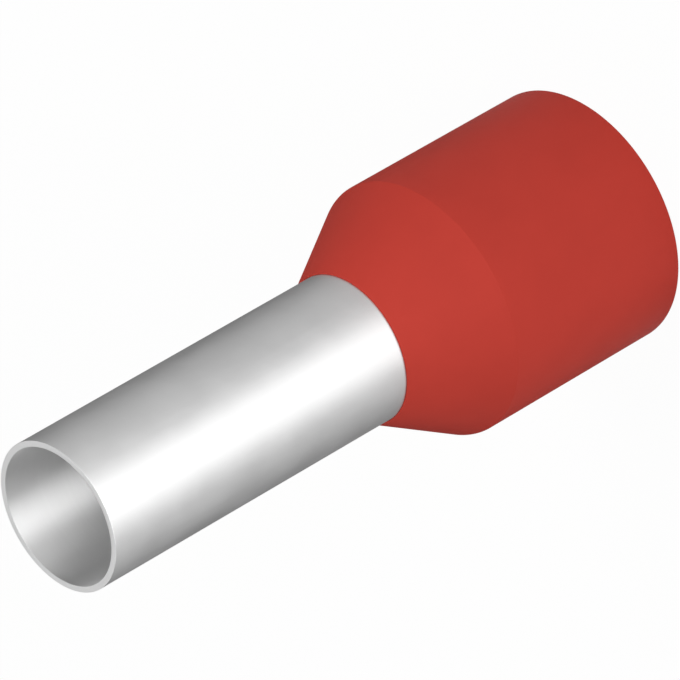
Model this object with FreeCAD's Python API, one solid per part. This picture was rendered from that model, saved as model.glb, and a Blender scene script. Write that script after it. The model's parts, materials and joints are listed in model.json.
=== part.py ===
import FreeCAD, Part
import math
import os

# Insulated wire ferrule for a 10 mm2 stranded conductor, with a 12 mm crimping length.
# It has two pieces: a tinned copper tube, cut square at its tip and flared at its hidden end,
# and a moulded plastic collar that grips the tube and guides the insulated wire into it.
# The ferrule stands on the collar's open end. Its axis is +Z, the origin is the centre of
# that end, and the tube's tip is at the top. Lengths are in millimetres.

# Tube.
CONDUCTOR_BORE = 4.5  # inside diameter of the tube
TUBE_WALL = 0.2
CRIMPING_LENGTH = 12.0  # bare tube in front of the collar
TIP_EDGE_RADIUS = 0.03  # both edges of the cut at the tip, after tumbling
FLARE_LENGTH = 1.35  # along the slope, from the point where the flare leaves the tube
FLARE_BEND_RADIUS = 0.6  # on the outside of the wall
FLARE_EDGE_RADIUS = 0.05

# Collar.
INSULATION_BORE = 7.6  # inside diameter of the collar, for the insulated wire
COLLAR_WALL = 0.4
BARREL_LENGTH = 7.0  # straight part of the collar
SHOULDER_LENGTH = 3.0  # the part that tapers down to the tube
FRONT_EDGE_WIDTH = 0.03  # the narrow ring where the taper ends on the tube
SEAT_WALL = 0.5  # plastic outside the flare, square to the taper
SHOULDER_EDGE_RADIUS = 0.1
REAR_EDGE_RADIUS = 0.03
LEAD_IN_LENGTH = 0.3  # chamfer inside the collar's open end
LEAD_IN_DEPTH = 0.1
FUNNEL_EDGE_RADIUS = 0.5  # where the bore turns into the funnel

# Clearance between the tube and the collar that grips it.
FIT = 0.01

# What follows from the driving sizes.
tube_inner_radius = CONDUCTOR_BORE / 2
tube_outer_radius = tube_inner_radius + TUBE_WALL
collar_inner_radius = INSULATION_BORE / 2
collar_outer_radius = collar_inner_radius + COLLAR_WALL
neck_radius = tube_outer_radius + FIT
front_edge_radius = neck_radius + FRONT_EDGE_WIDTH
collar_length = BARREL_LENGTH + SHOULDER_LENGTH
tip_height = collar_length + CRIMPING_LENGTH
taper = math.atan2(collar_outer_radius - front_edge_radius, SHOULDER_LENGTH)

# Depths below the taper's outer face: of the seat, and of the flare's two faces.
# The funnel continues the flare's inner face, so the strands meet no step.
seat_depth = SEAT_WALL
flare_outer_depth = seat_depth + FIT
flare_inner_depth = flare_outer_depth + TUBE_WALL


def height_on_taper(radius, depth):
    """Height at which a face parallel to the taper, `depth` below it, has this radius."""
    below_front = radius - front_edge_radius + depth / math.cos(taper)
    return collar_length - below_front / math.tan(taper)


def down_the_taper(corner, distance):
    """The point that lies `distance` down the slope, towards the open end, from a corner."""
    radius, height = corner
    return radius + distance * math.sin(taper), height - distance * math.cos(taper)


def into_the_funnel(corner, distance):
    """The point that lies `distance` from a corner, square to the slope, nearer the axis."""
    radius, height = corner
    return radius - distance * math.cos(taper), height - distance * math.sin(taper)


def vector(point):
    """A profile point (radius, height) in the XZ plane."""
    return FreeCAD.Vector(point[0], 0, point[1])


def rounding(before, corner, after, radius):
    """Start, middle and end of the arc of this radius that rounds a corner of a profile."""
    back = (before - corner).normalize()
    ahead = (after - corner).normalize()
    half_angle = back.getAngle(ahead) / 2
    reach = radius / math.tan(half_angle)
    centre = corner + (back + ahead).normalize() * (radius / math.sin(half_angle))
    middle = centre + (corner - centre).normalize() * radius
    return corner + back * reach, middle, corner + ahead * reach


def turned(profile):
    """A solid of revolution about Z. The profile is a closed list of (point, edge radius)."""
    points = [vector(point) for point, _ in profile]
    radii = [radius for _, radius in profile]
    count = len(points)
    starts = []
    ends = []
    edges = []
    for i in range(count):
        if radii[i]:
            start, middle, end = rounding(points[i - 1], points[i], points[(i + 1) % count], radii[i])
            edges.append(Part.Arc(start, middle, end).toShape())
        else:
            start = end = points[i]
        starts.append(start)
        ends.append(end)
    for i in range(count):
        edges.append(Part.LineSegment(ends[i], starts[(i + 1) % count]).toShape())
    wire = Part.Wire(Part.__sortEdges__(edges))
    return Part.Face(wire).revolve(FreeCAD.Vector(0, 0, 0), FreeCAD.Vector(0, 0, 1), 360)


def make_tube():
    """The seamless tube, with its hidden end flared open to lie in the collar's seat."""
    outer_bend = (tube_outer_radius, height_on_taper(tube_outer_radius, flare_outer_depth))
    inner_bend = (tube_inner_radius, height_on_taper(tube_inner_radius, flare_inner_depth))
    lip_outer = down_the_taper(outer_bend, FLARE_LENGTH)
    lip_inner = into_the_funnel(lip_outer, TUBE_WALL)
    return turned([
        ((tube_outer_radius, tip_height), TIP_EDGE_RADIUS),
        (outer_bend, FLARE_BEND_RADIUS),
        (lip_outer, FLARE_EDGE_RADIUS),
        (lip_inner, FLARE_EDGE_RADIUS),
        (inner_bend, FLARE_BEND_RADIUS + TUBE_WALL),
        ((tube_inner_radius, tip_height), TIP_EDGE_RADIUS),
    ])


def make_collar():
    """The moulded collar: a barrel for the insulation, a taper, and a seat for the flare."""
    neck_bend = (neck_radius, height_on_taper(neck_radius, seat_depth))
    seat_end = down_the_taper(neck_bend, FLARE_LENGTH + FIT)
    funnel_top = into_the_funnel(seat_end, TUBE_WALL + FIT)
    funnel_mouth = (collar_inner_radius, height_on_taper(collar_inner_radius, flare_inner_depth))
    return turned([
        ((collar_outer_radius, 0), REAR_EDGE_RADIUS),
        ((collar_outer_radius, BARREL_LENGTH), SHOULDER_EDGE_RADIUS),
        ((front_edge_radius, collar_length), 0),
        ((neck_radius, collar_length), 0),
        (neck_bend, FLARE_BEND_RADIUS - FIT),
        (seat_end, 0),
        (funnel_top, 0),
        (funnel_mouth, FUNNEL_EDGE_RADIUS),
        ((collar_inner_radius, LEAD_IN_LENGTH), 0),
        ((collar_inner_radius + LEAD_IN_DEPTH, 0), 0),
    ])


def main():
    """Builds both pieces and writes one STEP file for each."""
    os.makedirs("parts", exist_ok=True)
    pieces = {"crimp_tube": make_tube(), "insulating_collar": make_collar()}
    for name, solid in pieces.items():
        solid.exportStep(os.path.join("parts", name + ".step"))
        box = solid.BoundBox
        print(name, "solids", len(solid.Solids), "valid", solid.isValid(), "volume", round(solid.Volume, 4),
              "from", round(box.ZMin, 3), "to", round(box.ZMax, 3))


main()
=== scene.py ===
import json
import math

import bpy
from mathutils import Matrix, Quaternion, Vector


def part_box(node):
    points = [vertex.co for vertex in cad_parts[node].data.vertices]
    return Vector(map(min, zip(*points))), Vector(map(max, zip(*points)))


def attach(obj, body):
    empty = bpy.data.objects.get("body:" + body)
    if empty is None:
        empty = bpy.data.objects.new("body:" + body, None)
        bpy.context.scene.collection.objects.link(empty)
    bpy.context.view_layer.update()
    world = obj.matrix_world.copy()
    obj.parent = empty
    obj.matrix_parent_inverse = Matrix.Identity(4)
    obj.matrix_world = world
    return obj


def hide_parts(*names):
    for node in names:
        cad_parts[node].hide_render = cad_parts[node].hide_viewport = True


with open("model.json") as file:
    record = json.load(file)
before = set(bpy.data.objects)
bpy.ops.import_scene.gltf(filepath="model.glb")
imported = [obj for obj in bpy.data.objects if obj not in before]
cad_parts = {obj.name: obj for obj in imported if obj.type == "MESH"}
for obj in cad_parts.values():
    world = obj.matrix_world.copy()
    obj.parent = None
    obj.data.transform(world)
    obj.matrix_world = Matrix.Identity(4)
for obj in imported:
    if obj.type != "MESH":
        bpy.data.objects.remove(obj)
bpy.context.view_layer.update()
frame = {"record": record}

bl_info = {
    "name": "Wire Ferrule",
    "version": (1, 0, 0),
    "blender": (4, 5, 0),
    "location": "3D View > Sidebar > Ferrule",
    "description": "Models an insulated wire ferrule with its finishes, on a plain studio floor",
    "category": "Object",
}

MILLIMETRE = 0.001
# Pieces are modelled with one unit for each millimetre, because Blender's edit tools round off
# what is smaller, and are brought to real size when they are done.
RING_VERTICES = 256
FLAT = math.radians(30)  # faces that meet at less than this are shaded as one

MOUNTS = {mount["name"]: mount["dims"] for mount in frame["record"]["mounts"]}
COLLAR_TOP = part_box("insulating_collar")[1].z
TUBE_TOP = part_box("crimp_tube")[1].z


def millimetres(value):
    """A length in metres, as kept in the settings, in the units of the modelling."""
    return value / MILLIMETRE


# Settings


class TubeSettings(bpy.types.PropertyGroup):
    """Sizes and colour of the crimping tube."""

    bore: bpy.props.FloatProperty(
        name="Bore", description="Inside diameter of the tube", unit="LENGTH", precision=5,
        default=2 * MOUNTS["conductor_bore"]["r_mm"] * MILLIMETRE)
    wall: bpy.props.FloatProperty(
        name="Wall", description="Thickness of the tube's wall", unit="LENGTH", precision=5,
        default=0.0002)
    tip_edge: bpy.props.FloatProperty(
        name="Tip Edge", description="Rounding of both edges at the cut tip", unit="LENGTH",
        precision=6, default=0.00001)
    flare_length: bpy.props.FloatProperty(
        name="Flare Length", description="Length of the flare along its slope", unit="LENGTH",
        precision=5, default=0.00135)
    flare_bend: bpy.props.FloatProperty(
        name="Flare Bend", description="Radius of the bend into the flare, outside the wall",
        unit="LENGTH", precision=5, default=0.0006)
    flare_edge: bpy.props.FloatProperty(
        name="Flare Edge", description="Rounding of the flare's lip", unit="LENGTH",
        precision=5, default=0.00005)
    colour: bpy.props.FloatVectorProperty(
        name="Tin", description="Colour of the tin plating", subtype="COLOR", min=0, max=1,
        default=(0.8, 0.8, 0.8))
    roughness: bpy.props.FloatProperty(
        name="Roughness", description="Roughness outside, where the tube is drawn",
        min=0, max=1, default=0.5)
    roughness_inside: bpy.props.FloatProperty(
        name="Roughness Inside", description="Roughness inside, where the tube is burnished",
        min=0, max=1, default=0.6)
    burnish_inside: bpy.props.FloatProperty(
        name="Burnish Inside", description="How strongly the burnish inside runs round the bore",
        subtype="FACTOR", min=0, max=1, default=0.95)


class CollarSettings(bpy.types.PropertyGroup):
    """Sizes and colour of the insulating collar."""

    bore: bpy.props.FloatProperty(
        name="Bore", description="Inside diameter for the insulated wire", unit="LENGTH",
        precision=5, default=2 * MOUNTS["insulation_bore"]["r_mm"] * MILLIMETRE)
    wall: bpy.props.FloatProperty(
        name="Wall", description="Thickness of the barrel's wall", unit="LENGTH", precision=5,
        default=0.0004)
    shoulder: bpy.props.FloatProperty(
        name="Shoulder", description="Length of the taper down to the tube", unit="LENGTH",
        precision=5, default=0.003)
    front_edge: bpy.props.FloatProperty(
        name="Front Edge", description="Width of the ring where the taper ends on the tube",
        unit="LENGTH", precision=5, default=0.00003)
    shoulder_edge: bpy.props.FloatProperty(
        name="Shoulder Edge", description="Rounding between the barrel and the taper",
        unit="LENGTH", precision=5, default=0.0001)
    rear_edge: bpy.props.FloatProperty(
        name="Rear Edge", description="Rounding of the outer edge at the open end",
        unit="LENGTH", precision=5, default=0.00003)
    lead_in: bpy.props.FloatProperty(
        name="Lead-in", description="Length of the chamfer inside the open end",
        unit="LENGTH", precision=5, default=0.0003)
    lead_in_depth: bpy.props.FloatProperty(
        name="Lead-in Depth", description="Depth of the chamfer inside the open end",
        unit="LENGTH", precision=5, default=0.0001)
    seat_wall: bpy.props.FloatProperty(
        name="Seat Wall", description="Plastic outside the flare, square to the taper",
        unit="LENGTH", precision=5, default=0.0005)
    funnel_edge: bpy.props.FloatProperty(
        name="Funnel Edge", description="Rounding where the bore turns into the funnel",
        unit="LENGTH", precision=5, default=0.0005)
    grip: bpy.props.FloatProperty(
        name="Grip Clearance", description="Clearance between the tube and the collar",
        unit="LENGTH", precision=6, default=0.00001)
    colour: bpy.props.FloatVectorProperty(
        name="Plastic", description="Colour of the moulded plastic", subtype="COLOR",
        min=0, max=1, default=(0.46, 0.045, 0.032))
    roughness: bpy.props.FloatProperty(
        name="Roughness", description="Roughness of the moulded surface", min=0, max=1,
        default=0.5)


class StudioSettings(bpy.types.PropertyGroup):
    """The camera, the lamps and the floor."""

    elevation: bpy.props.FloatProperty(
        name="Elevation", description="Height of the camera above the horizon",
        subtype="ANGLE", default=math.radians(35.185))
    roll: bpy.props.FloatProperty(
        name="Roll", description="Turn of the picture, which lays the tube to the lower left",
        subtype="ANGLE", default=math.radians(-119.937))
    distance: bpy.props.FloatProperty(
        name="Distance", description="From the camera to the point that it aims at",
        unit="LENGTH", default=0.266655)
    lens: bpy.props.FloatProperty(
        name="Lens", description="Focal length in millimetres, for a 36 mm sensor",
        default=470.22)
    aim: bpy.props.FloatVectorProperty(
        name="Aim", description="The point in the middle of the picture", unit="LENGTH",
        precision=5, default=(0.000367, 0, 0.010099))
    surroundings: bpy.props.FloatProperty(
        name="Surroundings", description="Brightness of the room around the object",
        default=0.18)
    floor_colour: bpy.props.FloatVectorProperty(
        name="Floor", description="Colour of the plain pale floor", subtype="COLOR",
        min=0, max=1, default=(0.8, 0.8, 0.8))
    floor_white: bpy.props.FloatProperty(
        name="Floor White", description="How much of the floor's own white the camera sees",
        subtype="FACTOR", min=0, max=1, default=0.96)
    # Painted reflection: the floor glows only in reflections. The glow is faint behind, brighter in
    # front, and brightest in a patch that paints the tube's highlight band.
    painted_reflection_behind: bpy.props.FloatProperty(
        name="Reflected Behind", description="Brightness of the floor behind, in reflections",
        min=0, default=0.063)
    painted_reflection_in_front: bpy.props.FloatProperty(
        name="Reflected Before", description="How much brighter the floor in front is",
        min=0, default=0.483)
    # Painted highlight: no lamp lights this patch. It glows in reflections only, to paint the bright band
    # on the tube.
    painted_highlight_brightness: bpy.props.FloatProperty(
        name="Bright Patch", description="How much brighter still its lit patch is",
        min=0, default=1.08)
    painted_highlight_azimuth: bpy.props.FloatProperty(
        name="Patch Azimuth", description="Where the lit patch lies, from the camera's side",
        subtype="ANGLE", default=math.radians(-17))


# Shader expressions


class Value:
    """An output socket of a node. Arithmetic on it adds the Math nodes that work it out."""

    def __init__(self, shader, socket):
        self.shader = shader
        self.socket = socket

    def __add__(self, other):
        return self.shader.math("ADD", self, other)

    __radd__ = __add__

    def __sub__(self, other):
        return self.shader.math("SUBTRACT", self, other)

    def __rsub__(self, other):
        return self.shader.math("SUBTRACT", other, self)

    def __mul__(self, other):
        return self.shader.math("MULTIPLY", self, other)

    __rmul__ = __mul__


class Shader:
    """The nodes of one material or world."""

    def __init__(self, tree):
        tree.nodes.clear()
        self.tree = tree

    def node(self, kind, settings=None, inputs=None, output=0):
        """Adds a node, sets it, feeds its sockets with values or links, and gives an output."""
        made = self.tree.nodes.new(kind)
        for name, setting in (settings or {}).items():
            setattr(made, name, setting)
        for name, value in (inputs or {}).items():
            if isinstance(value, Value):
                self.tree.links.new(value.socket, made.inputs[name])
            else:
                made.inputs[name].default_value = value
        return Value(self, made.outputs[output]) if made.outputs else None

    def math(self, operation, first, second=0.0):
        return self.node("ShaderNodeMath", {"operation": operation}, {0: first, 1: second})

    def limited(self, value, low, high):
        """0 up to the low value, 1 from the high one on, and eased between them."""
        return self.node("ShaderNodeMapRange", {"interpolation_type": "SMOOTHSTEP"},
                         {"Value": value, "From Min": low, "From Max": high})

    def mixed(self, factor, first, second):
        """The first colour where the factor is 0 and the second where it is 1."""
        return self.node("ShaderNodeMix", {"data_type": "RGBA"}, {0: factor, 6: first, 7: second},
                         output=2)

    def place(self):
        """The place on the piece, in metres."""
        return self.node("ShaderNodeTexCoord", output="Object")

    def noise(self, scale, detail, stretch=(1, 1, 1)):
        """Soft random values about NOISE_MIDDLE, with `scale` lumps for each millimetre. They
        are drawn out into lines along an axis with a small stretch."""
        in_millimetres = [factor / MILLIMETRE for factor in stretch]
        place = self.node("ShaderNodeMapping", inputs={"Vector": self.place(), "Scale": in_millimetres})
        return self.node("ShaderNodeTexNoise", inputs={"Vector": place, "Scale": scale, "Detail": detail})

    def radius(self):
        """The distance from the origin, in metres."""
        return self.node("ShaderNodeVectorMath", {"operation": "LENGTH"}, {0: self.place()},
                         output="Value")

    def towards(self, azimuth):
        """1 in the direction of an azimuth from the camera's side, -1 opposite, seen from the
        middle of the floor."""
        direction = self.node("ShaderNodeVectorMath", {"operation": "NORMALIZE"}, {0: self.place()})
        aim = from_camera_side(math.degrees(azimuth), 0, 1)
        return self.node("ShaderNodeVectorMath", {"operation": "DOT_PRODUCT"},
                         {0: direction, 1: aim}, output="Value")

    def bump(self, height, depth):
        """A normal bent by a height from 0 to 1 that stands for a depth in metres."""
        return self.node("ShaderNodeBump", inputs={"Height": height, "Distance": depth})

    def ray(self, kind):
        """1 for a ray of this kind, such as Camera or Glossy, and 0 for any other."""
        return self.node("ShaderNodeLightPath", output=f"Is {kind} Ray")


# Finishes


NOISE_MIDDLE = 0.5
CLOUDS_LOW = 0.25  # between these two the clouds go from their darkest to their lightest
CLOUDS_HIGH = 0.75
TIN_SHADE = 0.97  # of the colour, where the clouds are darkest
PLASTIC_SHADE = 0.96
DRAWN_ALONG = (1, 1, 0.03)  # stretch of the noise that makes lines along the tube
BURNISHED_ROUND = (0.03, 0.03, 1)  # and of the one that makes rings round its bore
TIN_RELIEF = 0.000001  # depth of the lines and grain, in metres
PLASTIC_RELIEF = 0.000002
SPREAD_ALONG = 0.25  # of a turn, so that highlights spread along the bore and not round it
PLASTIC_SPECULAR = 0.03  # the picture's plastic is all but matt


def opaque(colour):
    """A colour with the fourth number that Blender's sockets want."""
    return (*colour, 1.0)


def new_material(name):
    material = bpy.data.materials.new(name)
    material.use_nodes = True
    return material, Shader(material.node_tree)


def clouded(shader, clouds, colour, shade):
    """A colour that goes down to a share of itself where the clouds are dark."""
    tone = shader.limited(clouds, CLOUDS_LOW, CLOUDS_HIGH)
    darkest = [shade * channel for channel in colour]
    return shader.mixed(tone, opaque(darkest), opaque(colour))


def tin_plating(name, colour, roughness, lines, burnish=0.0):
    """Satin tin plating on copper, with faint lines that run where the noise is stretched. The
    burnish runs round the tube, and spreads highlights along it."""
    material, shader = new_material(name)
    fine_lines = shader.noise(scale=9, detail=3, stretch=lines)
    clouds = shader.noise(scale=0.9, detail=3)
    grain = shader.noise(scale=30, detail=2)
    lines_in_sheen = 0.10 * (fine_lines - NOISE_MIDDLE)
    clouds_in_sheen = 0.08 * (clouds - NOISE_MIDDLE)
    relief = fine_lines + 0.3 * grain
    surface = shader.node("ShaderNodeBsdfPrincipled", inputs={
        "Base Color": clouded(shader, clouds, colour, TIN_SHADE),
        "Metallic": 1.0,
        "Roughness": roughness + lines_in_sheen + clouds_in_sheen,
        "Anisotropic": burnish,
        "Anisotropic Rotation": SPREAD_ALONG,
        "Normal": shader.bump(relief, TIN_RELIEF)})
    shader.node("ShaderNodeOutputMaterial", inputs={"Surface": surface})
    return material


def moulded_plastic(settings):
    """Pigmented polypropylene from a finely eroded mould, with a soft even grain."""
    material, shader = new_material("moulded_red_plastic")
    grain = shader.noise(scale=14, detail=3)
    clouds = shader.noise(scale=0.6, detail=2)
    grain_in_sheen = 0.10 * (grain - NOISE_MIDDLE)
    clouds_in_sheen = 0.06 * (clouds - NOISE_MIDDLE)
    surface = shader.node("ShaderNodeBsdfPrincipled", inputs={
        "Base Color": clouded(shader, clouds, settings.colour, PLASTIC_SHADE),
        "Roughness": settings.roughness + grain_in_sheen + clouds_in_sheen,
        "Normal": shader.bump(grain, PLASTIC_RELIEF),
        "Specular IOR Level": PLASTIC_SPECULAR})
    shader.node("ShaderNodeOutputMaterial", inputs={"Surface": surface})
    return material


# Modelling


NEAR = 0.001  # millimetres within which a vertex counts as being at a place
LOOKS_INWARDS = -0.5  # a face whose normal's outward part is less looks at the axis
EDGE_FACES = 4  # across each rounded edge of the tube
RIM_FACES = 5  # across those of the collar
BEND_FACES = 8
SHARP = (0, 0)  # an edge without a radius, and without faces across it


def begin_ring(name, radius, height):
    """Adds a ring of vertices about the Z axis and stays in edit mode with all of it selected."""
    bpy.ops.object.select_all(action="DESELECT")
    bpy.ops.mesh.primitive_circle_add(vertices=RING_VERTICES, radius=radius, location=(0, 0, height))
    piece = bpy.context.object
    piece.name = name
    bpy.ops.object.transform_apply(location=True)
    bpy.ops.object.mode_set(mode="EDIT")
    bpy.ops.mesh.select_mode(type="EDGE")
    bpy.ops.mesh.select_all(action="SELECT")
    return piece


def extrude_to(before, after):
    """Extrudes the selected ring from one (radius, height) to the next."""
    bpy.ops.mesh.extrude_region_move(
        TRANSFORM_OT_translate={"value": (0, 0, after[1] - before[1])})
    growth = after[0] / before[0]
    bpy.ops.transform.resize(value=(growth, growth, 1), center_override=(0, 0, after[1]))


def select_ring(piece, corner):
    """Selects only the ring of edges at a (radius, height)."""
    bpy.ops.mesh.select_all(action="DESELECT")
    bpy.ops.object.mode_set(mode="OBJECT")
    radius, height = corner
    here = [abs(vertex.co.z - height) < NEAR and abs(vertex.co.xy.length - radius) < NEAR
            for vertex in piece.data.vertices]
    for edge in piece.data.edges:
        edge.select = all(here[index] for index in edge.vertices)
    bpy.ops.object.mode_set(mode="EDIT")


def turn_between(before, corner, after):
    """How far a profile turns at a corner, as an angle."""
    arriving = Vector(corner) - Vector(before)
    leaving = Vector(after) - Vector(corner)
    return arriving.angle(leaving)


def turned(name, profile):
    """A closed body of revolution about Z. The profile lists a corner, its edge radius and the
    number of faces across that edge."""
    corners = [corner for corner, _, _ in profile]
    piece = begin_ring(name, *corners[0])
    for before, after in zip(corners, corners[1:]):
        extrude_to(before, after)
    close_profile()
    for i, (corner, edge_radius, faces) in enumerate(profile):
        if edge_radius:
            turn = turn_between(corners[i - 1], corner, corners[(i + 1) % len(corners)])
            select_ring(piece, corner)
            bpy.ops.mesh.bevel(offset=edge_radius * math.tan(turn / 2), segments=faces,
                               profile=0.5, clamp_overlap=False)
    bpy.ops.mesh.select_all(action="SELECT")
    bpy.ops.mesh.normals_make_consistent(inside=False)
    bpy.ops.object.mode_set(mode="OBJECT")
    piece.scale = (MILLIMETRE,) * 3
    bpy.ops.object.transform_apply(scale=True)
    bpy.ops.object.shade_smooth_by_angle(angle=FLAT)
    return piece


def close_profile():
    """Joins the last ring of the profile to the first."""
    bpy.ops.mesh.select_all(action="DESELECT")
    bpy.ops.mesh.select_non_manifold()
    bpy.ops.mesh.bridge_edge_loops()


def finish_bore(piece, material):
    """Gives the faces that look towards the axis a finish of their own."""
    piece.data.materials.append(material)
    for face in piece.data.polygons:
        if face.normal.xy.dot(face.center.xy.normalized()) < LOOKS_INWARDS:
            face.material_index = len(piece.data.materials) - 1


def finish_piece(piece, material, node):
    """Gives a piece its finish and its place in the frame."""
    piece.data.materials.append(material)
    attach(piece, "root")
    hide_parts(node)


# The taper that the tube's flare and the collar's seat share


class Taper:
    """The slope of the collar's shoulder, and places on faces that lie parallel under it."""

    def __init__(self, tube, collar):
        self.tube_inner = millimetres(tube.bore) / 2
        self.tube_outer = self.tube_inner + millimetres(tube.wall)
        self.wall = millimetres(tube.wall)
        self.grip = millimetres(collar.grip)
        self.neck = self.tube_outer + self.grip
        self.front_edge = self.neck + millimetres(collar.front_edge)
        self.top = millimetres(COLLAR_TOP)
        self.collar_inner = millimetres(collar.bore) / 2
        self.collar_outer = self.collar_inner + millimetres(collar.wall)
        self.slope = math.atan2(self.collar_outer - self.front_edge, millimetres(collar.shoulder))
        self.seat_depth = millimetres(collar.seat_wall)
        self.flare_outer_depth = self.seat_depth + self.grip
        self.flare_inner_depth = self.flare_outer_depth + self.wall
        self.flare_length = millimetres(tube.flare_length)

    def height(self, radius, depth):
        """Height at which the face that lies this deep under the taper has this radius."""
        below_front = radius - self.front_edge + depth / math.cos(self.slope)
        return self.top - below_front / math.tan(self.slope)

    def down(self, corner, distance):
        """The point this far down the slope, towards the open end."""
        return (corner[0] + distance * math.sin(self.slope),
                corner[1] - distance * math.cos(self.slope))

    def inwards(self, corner, distance):
        """The point this far from a corner, square to the slope, nearer the axis."""
        return (corner[0] - distance * math.cos(self.slope),
                corner[1] - distance * math.sin(self.slope))


class FERRULE_OT_tube(bpy.types.Operator):
    """Model the seamless tube, flared at the end that the collar hides"""

    bl_idname = "ferrule.tube"
    bl_label = "Crimping Tube"

    def execute(self, context):
        tube = context.scene.ferrule_tube
        taper = Taper(tube, context.scene.ferrule_collar)
        tip = millimetres(TUBE_TOP)
        outer_bend = (taper.tube_outer, taper.height(taper.tube_outer, taper.flare_outer_depth))
        inner_bend = (taper.tube_inner, taper.height(taper.tube_inner, taper.flare_inner_depth))
        lip_outer = taper.down(outer_bend, taper.flare_length)
        lip_inner = taper.inwards(lip_outer, taper.wall)
        tip_edge = millimetres(tube.tip_edge)
        bend = millimetres(tube.flare_bend)
        lip_edge = millimetres(tube.flare_edge)
        piece = turned("ferrule_tube", [
            ((taper.tube_outer, tip), tip_edge, EDGE_FACES),
            (outer_bend, bend, BEND_FACES),
            (lip_outer, lip_edge, EDGE_FACES),
            (lip_inner, lip_edge, EDGE_FACES),
            (inner_bend, bend + taper.wall, BEND_FACES),
            ((taper.tube_inner, tip), tip_edge, EDGE_FACES),
        ])
        drawn = tin_plating("drawn_tin_plating", tube.colour, tube.roughness, lines=DRAWN_ALONG)
        burnished = tin_plating("burnished_tin_plating", tube.colour, tube.roughness_inside,
                                lines=BURNISHED_ROUND, burnish=tube.burnish_inside)
        finish_piece(piece, drawn, "crimp_tube")
        finish_bore(piece, burnished)
        return {"FINISHED"}


class FERRULE_OT_collar(bpy.types.Operator):
    """Model the plastic collar, with the seat and the funnel inside it"""

    bl_idname = "ferrule.collar"
    bl_label = "Insulating Collar"

    def execute(self, context):
        tube = context.scene.ferrule_tube
        collar = context.scene.ferrule_collar
        taper = Taper(tube, collar)
        shoulder = taper.top - millimetres(collar.shoulder)
        lead_in = millimetres(collar.lead_in)
        lead_in_radius = taper.collar_inner + millimetres(collar.lead_in_depth)
        neck_bend = (taper.neck, taper.height(taper.neck, taper.seat_depth))
        seat_end = taper.down(neck_bend, taper.flare_length + taper.grip)
        funnel_top = taper.inwards(seat_end, taper.wall + taper.grip)
        mouth_height = taper.height(taper.collar_inner, taper.flare_inner_depth)
        piece = turned("ferrule_collar", [
            ((taper.collar_outer, 0), millimetres(collar.rear_edge), RIM_FACES),
            ((taper.collar_outer, shoulder), millimetres(collar.shoulder_edge), RIM_FACES),
            ((taper.front_edge, taper.top), *SHARP),
            ((taper.neck, taper.top), *SHARP),
            (neck_bend, millimetres(tube.flare_bend) - taper.grip, BEND_FACES),
            (seat_end, *SHARP),
            (funnel_top, *SHARP),
            ((taper.collar_inner, mouth_height), millimetres(collar.funnel_edge), BEND_FACES),
            ((taper.collar_inner, lead_in), *SHARP),
            ((lead_in_radius, 0), *SHARP),
        ])
        finish_piece(piece, moulded_plastic(collar), "insulating_collar")
        return {"FINISHED"}


# Stage


# Lengths are in metres.
FLOOR_SIZE = 4.0
LAMP_DISTANCE = 0.4
LAMP_AIM = Vector((0, 0, TUBE_TOP / 2))
MOUTH = Vector((0, 0, TUBE_TOP))
MOUTH_DISTANCE = 0.012
MOUTH_HOOD = math.radians(70)  # the spread of light that a lamp's hood there leaves
# Where the floor's painted glow and its painted highlight patch, which show only in reflections, begin
# and where they are full, as the cosine of the angle from their brightest direction.
GLOW_EDGE = -1
GLOW_CORE = 0.3
PATCH_EDGE = math.cos(math.radians(36))
PATCH_CORE = math.cos(math.radians(25))


def from_camera_side(azimuth, elevation, distance):
    """A point seen from the ferrule at an azimuth from the camera's side, in degrees towards +X,
    and an elevation."""
    around = math.radians(azimuth)
    up = math.radians(elevation)
    return Vector((math.sin(around) * math.cos(up), -math.cos(around) * math.cos(up),
                   math.sin(up))) * distance


def add_lamp(name, place, facing, width, height, brightness):
    """A soft rectangular lamp that the camera doesn't see. The brightness is that of its face,
    where a white floor is 1."""
    bpy.ops.object.light_add(type="AREA", location=place, rotation=facing.to_euler())
    lamp = bpy.context.object
    lamp.name = name
    lamp.visible_camera = False
    lamp.data.shape = "RECTANGLE"
    lamp.data.size = width
    lamp.data.size_y = height
    lamp.data.energy = brightness * math.pi * width * height
    return lamp


def side_across(distance, angle):
    """The width that fills an angle in degrees, seen square on from a distance."""
    return 2 * distance * math.tan(math.radians(angle / 2))


def hang_lamp(name, azimuth, elevation, width, height, brightness, distance=LAMP_DISTANCE,
              aim=LAMP_AIM):
    """Hangs a lamp that faces the point it aims at. Width and height are angles seen from there."""
    place = aim + from_camera_side(azimuth, elevation, distance)
    return add_lamp(name, place, (aim - place).to_track_quat("-Z", "Y"),
                    side_across(distance, width), side_across(distance, height), brightness)


def light_mouth(name, azimuth, elevation, width, height, brightness):
    """Holds a small lamp near the tube's mouth, with a hood that keeps its light to the bore."""
    lamp = hang_lamp(name, azimuth, elevation, width, height, brightness, MOUTH_DISTANCE, MOUTH)
    lamp.data.spread = MOUTH_HOOD


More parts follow.
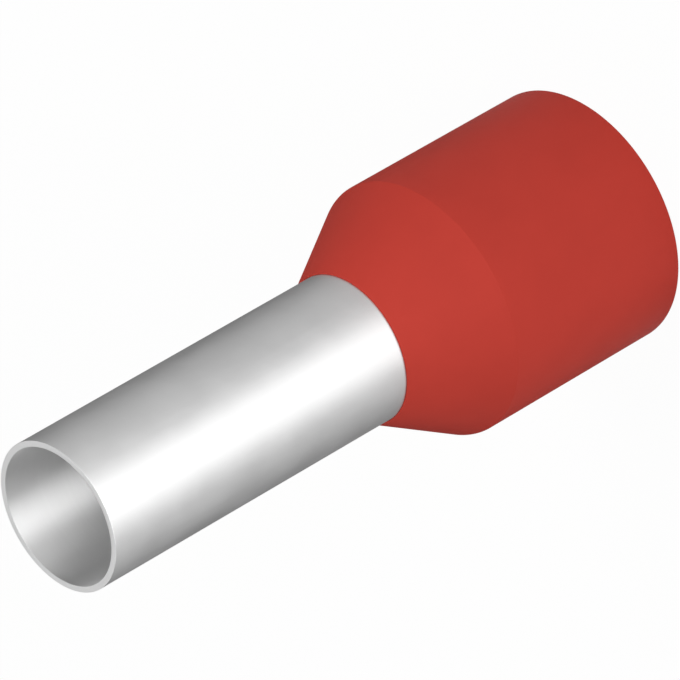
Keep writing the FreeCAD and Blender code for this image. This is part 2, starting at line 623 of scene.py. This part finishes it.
class FERRULE_OT_floor(bpy.types.Operator):
    """Lay a plain pale floor that keeps the ferrule's shadow, and that glows only in reflections, as a
    painted reflection that gives the tube its highlight
    """

    bl_idname = "ferrule.floor"
    bl_label = "Floor"

    def execute(self, context):
        studio = context.scene.ferrule_studio
        collar = context.scene.ferrule_collar
        bpy.ops.object.select_all(action="DESELECT")
        bpy.ops.mesh.primitive_plane_add(size=FLOOR_SIZE)
        floor = context.object
        floor.name = "studio_floor"
        material, shader = new_material("pale_floor")
        seen = shader.ray("Camera") + shader.ray("Transmission")
        reflected = shader.ray("Glossy")
        # Painted reflection: glossy rays see the floor glow. The glow is faint behind, brighter in front,
        # and brightest in a patch that paints the tube's highlight.
        before = shader.limited(shader.towards(0), GLOW_EDGE, GLOW_CORE)
        patch = shader.limited(shader.towards(studio.painted_highlight_azimuth), PATCH_EDGE, PATCH_CORE)
        painted_reflection = (studio.painted_reflection_behind + studio.painted_reflection_in_front * before
                + studio.painted_highlight_brightness * patch)
        matt = shader.node("ShaderNodeBsdfDiffuse", inputs={"Color": opaque(studio.floor_colour)})
        # For the camera this emission is the floor's even white. For glossy rays it is the painted
        # reflection.
        white = shader.node("ShaderNodeEmission", inputs={"Color": seen + reflected * painted_reflection})
        # Inside the collar the floor stays matt, so that the bore looks dark from above.
        outside = shader.limited(shader.radius(), collar.bore / 2, collar.bore / 2 + collar.wall)
        share = outside * (studio.floor_white * seen + reflected)
        surface = shader.node("ShaderNodeMixShader", inputs={0: share, 1: matt, 2: white})
        shader.node("ShaderNodeOutputMaterial", inputs={"Surface": surface})
        floor.data.materials.append(material)
        return {"FINISHED"}


class FERRULE_OT_lamps(bpy.types.Operator):
    """Hang the soft lamps and set the brightness of the room"""

    bl_idname = "ferrule.lamps"
    bl_label = "Lamps"

    def execute(self, context):
        studio = context.scene.ferrule_studio
        # In the picture the metal is lit from other sides than the plastic. These three lamps
        # show only as reflections in the metal.
        front = hang_lamp("front_lamp", azimuth=0, elevation=25, width=90, height=45, brightness=1.4)
        right = hang_lamp("right_lamp", azimuth=60, elevation=14, width=40, height=22, brightness=0.91)
        top = hang_lamp("top_lamp", azimuth=15, elevation=70, width=70, height=45, brightness=1.32)
        for lamp in (front, right, top):
            lamp.visible_diffuse = False
        # These two light the plastic and the floor, and nothing reflects them.
        key = hang_lamp("key_lamp", azimuth=-10, elevation=25, width=30, height=30, brightness=6.5)
        side = hang_lamp("side_lamp", azimuth=85, elevation=58, width=30, height=30, brightness=5.1)
        for lamp in (key, side):
            lamp.visible_glossy = False
        # The others light everything they reach.
        hang_lamp("left_lamp", azimuth=-70, elevation=25, width=40, height=45, brightness=0.84)
        hang_lamp("back_lamp", azimuth=180, elevation=40, width=90, height=44, brightness=0.65)
        light_mouth("mouth_lamp", azimuth=-30, elevation=42, width=60, height=30, brightness=0.6)
        light_mouth("mouth_key", azimuth=-5, elevation=45, width=30, height=20, brightness=0.58)
        world = bpy.data.worlds.new("plain_room")
        context.scene.world = world
        world.use_nodes = True
        shader = Shader(world.node_tree)
        camera = shader.ray("Camera")
        strength = camera + (1 - camera) * studio.surroundings
        room = shader.node("ShaderNodeBackground", inputs={
            "Color": opaque((1, 1, 1)), "Strength": strength})
        shader.node("ShaderNodeOutputWorld", inputs={"Surface": room})
        return {"FINISHED"}


class FERRULE_OT_camera(bpy.types.Operator):
    """Set the camera at the picture's viewing angle"""

    bl_idname = "ferrule.camera"
    bl_label = "Camera"

    def execute(self, context):
        studio = context.scene.ferrule_studio
        aim = Vector(studio.aim)
        back = from_camera_side(0, math.degrees(studio.elevation), 1)
        upright = (-back).to_track_quat("-Z", "Y")
        rolled = upright @ Quaternion((0, 0, 1), studio.roll)
        bpy.ops.object.camera_add(location=aim + studio.distance * back, rotation=rolled.to_euler())
        camera = context.object
        camera.name = "picture_camera"
        camera.data.lens = studio.lens
        context.scene.camera = camera
        context.scene.view_settings.view_transform = "Standard"
        return {"FINISHED"}


class FERRULE_PT_sidebar(bpy.types.Panel):
    """Lists the ferrule's settings and the steps that build it."""

    bl_idname = "FERRULE_PT_sidebar"
    bl_label = "Wire Ferrule"
    bl_space_type = "VIEW_3D"
    bl_region_type = "UI"
    bl_category = "Ferrule"

    def draw(self, context):
        scene = context.scene
        for settings in (scene.ferrule_tube, scene.ferrule_collar, scene.ferrule_studio):
            column = self.layout.column(align=True)
            for name in settings.bl_rna.properties.keys():
                if name not in ("rna_type", "name"):
                    column.prop(settings, name)
        for step in STEPS:
            self.layout.operator(step.bl_idname)


SETTINGS = {
    "ferrule_tube": TubeSettings,
    "ferrule_collar": CollarSettings,
    "ferrule_studio": StudioSettings,
}
STEPS = (
    FERRULE_OT_camera,
    FERRULE_OT_tube,
    FERRULE_OT_collar,
    FERRULE_OT_floor,
    FERRULE_OT_lamps,
)


def register():
    for group in SETTINGS.values():
        bpy.utils.register_class(group)
    for name, group in SETTINGS.items():
        setattr(bpy.types.Scene, name, bpy.props.PointerProperty(type=group))
    for step in STEPS:
        bpy.utils.register_class(step)
    bpy.utils.register_class(FERRULE_PT_sidebar)


def unregister():
    bpy.utils.unregister_class(FERRULE_PT_sidebar)
    for step in reversed(STEPS):
        bpy.utils.unregister_class(step)
    for name in SETTINGS:
        delattr(bpy.types.Scene, name)
    for group in SETTINGS.values():
        bpy.utils.unregister_class(group)


def main():
    """Builds the ferrule and its stage."""
    register()
    bpy.ops.ferrule.camera()
    bpy.ops.ferrule.tube()
    bpy.ops.ferrule.collar()
    bpy.ops.ferrule.floor()
    bpy.ops.ferrule.lamps()


if __name__ == "__main__":
    main()
